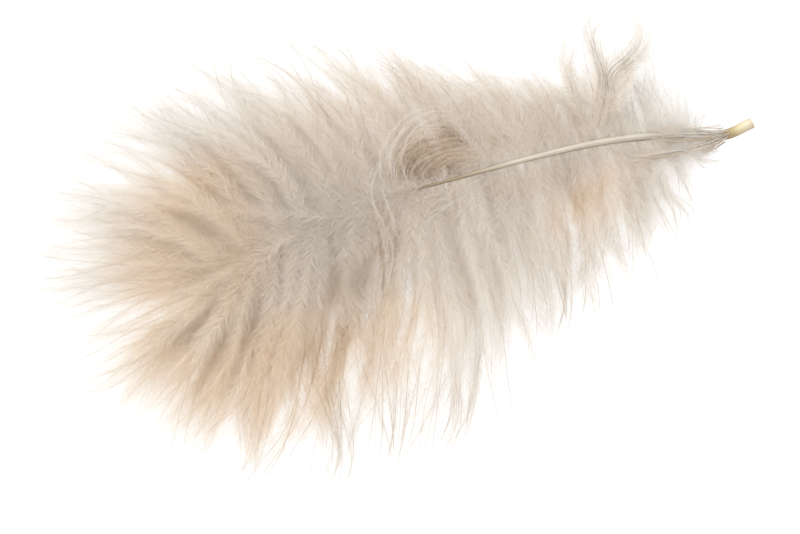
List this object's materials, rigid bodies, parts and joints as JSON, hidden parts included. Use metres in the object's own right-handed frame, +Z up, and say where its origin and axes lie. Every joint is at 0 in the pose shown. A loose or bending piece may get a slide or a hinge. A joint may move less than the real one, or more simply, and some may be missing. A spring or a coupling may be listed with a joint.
{
  "type": "marabou feather",
  "caption": "Loose marabou feather lying flat, with a thin curved shaft, a bare translucent quill end and long soft down in locks on both sides and round the tip.",
  "frame": {"origin": "on the surface the feather lies on, under the middle of its bounding box", "axes": "+X along the feather to the cut end of the quill, the tip at -X; +Y to the feather's left as seen from above with the quill's end on the right; +Z up from the surface"},
  "size_m": [0.1472, 0.0929, 0.0207],
  "materials": {
    "down": "soft, slightly translucent down, cream to grey-beige with a peach tint"
  },
  "bodies": {
    "root": {"feather": "down"}
  },
  "joints": []
}
